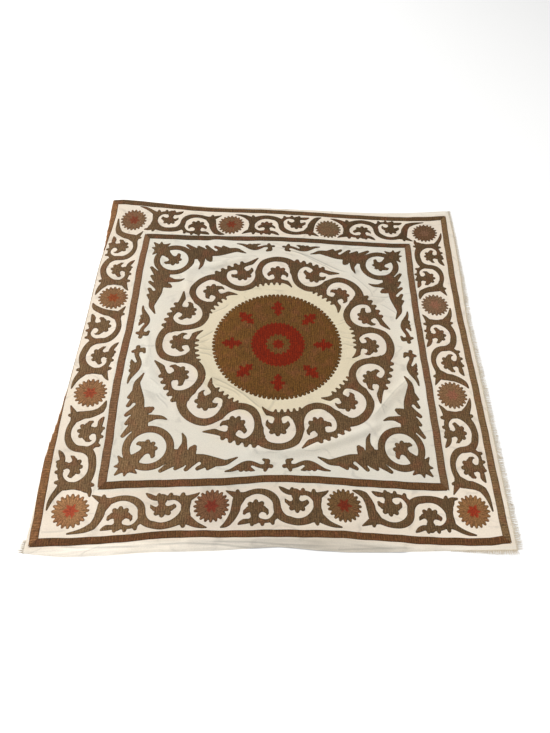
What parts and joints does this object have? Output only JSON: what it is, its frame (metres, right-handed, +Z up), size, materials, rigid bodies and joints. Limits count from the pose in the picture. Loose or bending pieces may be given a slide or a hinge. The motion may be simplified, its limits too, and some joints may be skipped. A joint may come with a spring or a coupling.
{
  "type": "suzani embroidered cotton cloth, laid flat",
  "caption": "Square embroidered cotton cloth lying flat, with one side folded under, soft creases and frayed edges.",
  "frame": {"origin": "on the surface that the cloth lies on, under the middle of the embroidered medallion", "axes": "+Z up out of the face of the cloth, +X to the viewer's right, +Y away from the viewer"},
  "size_m": [1.435, 1.4716, 0.0069],
  "materials": {
    "ground_cotton": "plain woven off-white cotton, slightly yellowed, matt",
    "frayed_ends": "loose unspun cotton warp ends, matt",
    "embroidery_thread": "couched olive brown and red thread in close rows, slight sheen along each row"
  },
  "bodies": {
    "root": {"ground_cloth": "ground_cotton", "fringe_right": "frayed_ends", "fringe_bottom_right": "frayed_ends", "fringe_corner_left": "frayed_ends"}
  },
  "joints": []
}
